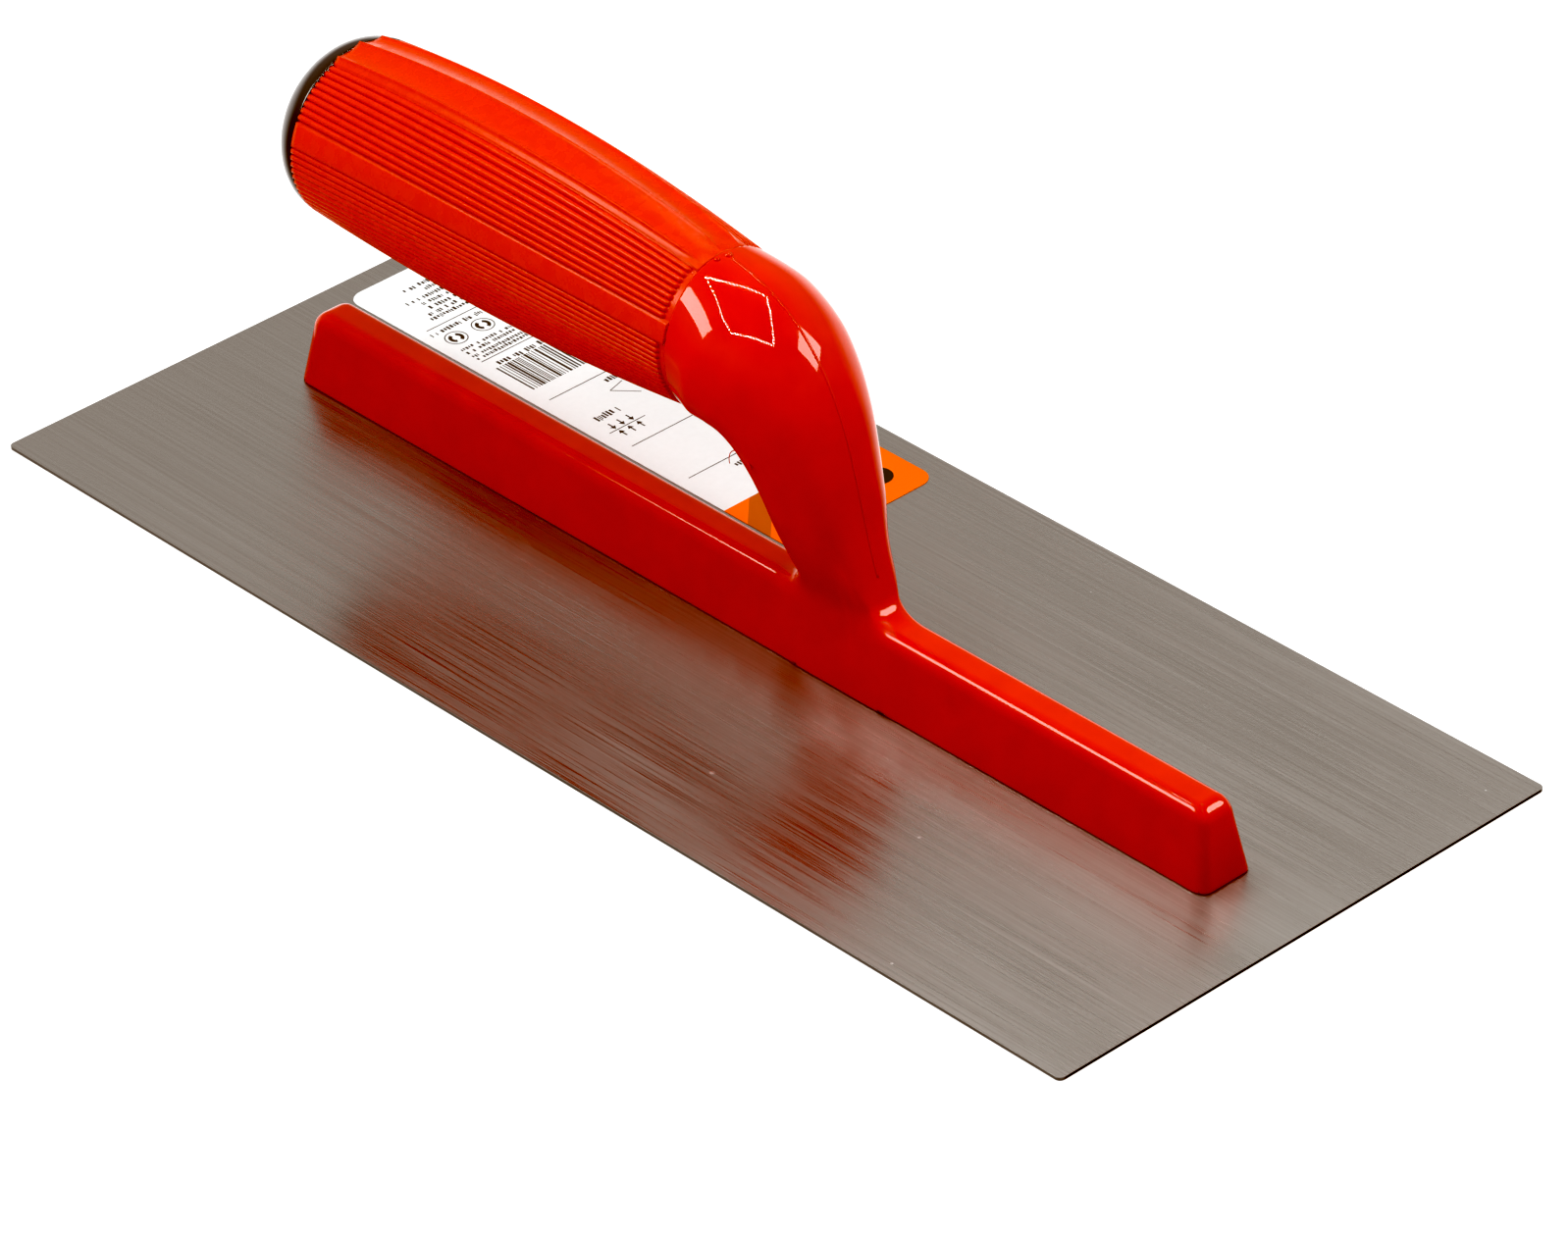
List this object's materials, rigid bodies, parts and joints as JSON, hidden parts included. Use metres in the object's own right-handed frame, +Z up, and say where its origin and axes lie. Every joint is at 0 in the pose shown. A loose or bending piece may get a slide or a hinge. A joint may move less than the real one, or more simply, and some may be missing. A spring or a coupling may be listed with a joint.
{
  "type": "steel finishing trowel",
  "caption": "Flat rectangular steel finishing trowel with a plastic mounting bar, a gooseneck and a closed ribbed grip.",
  "frame": {"origin": "centre of the blade's underside, where the trowel rests", "axes": "+Z up, +X along the blade to the toe, which the gooseneck stands nearer to, +Y to the labelled side"},
  "size_m": [0.28, 0.12, 0.0818],
  "materials": {
    "blade_steel": "brushed along the blade, lightly oiled",
    "stud_steel": "plain drawn steel",
    "red_moulding": "glossy injection-moulded plastic",
    "red_sleeve": "satin soft-touch elastomer with lengthways ribs",
    "black_cap": "glossy black plastic",
    "printed_label": "satin printed film, white and orange"
  },
  "bodies": {
    "root": {"blade": "blade_steel", "label": "printed_label", "weld_studs": "stud_steel", "handle_moulding": "red_moulding", "grip_sleeve": "red_sleeve", "end_cap": "black_cap"}
  },
  "joints": []
}
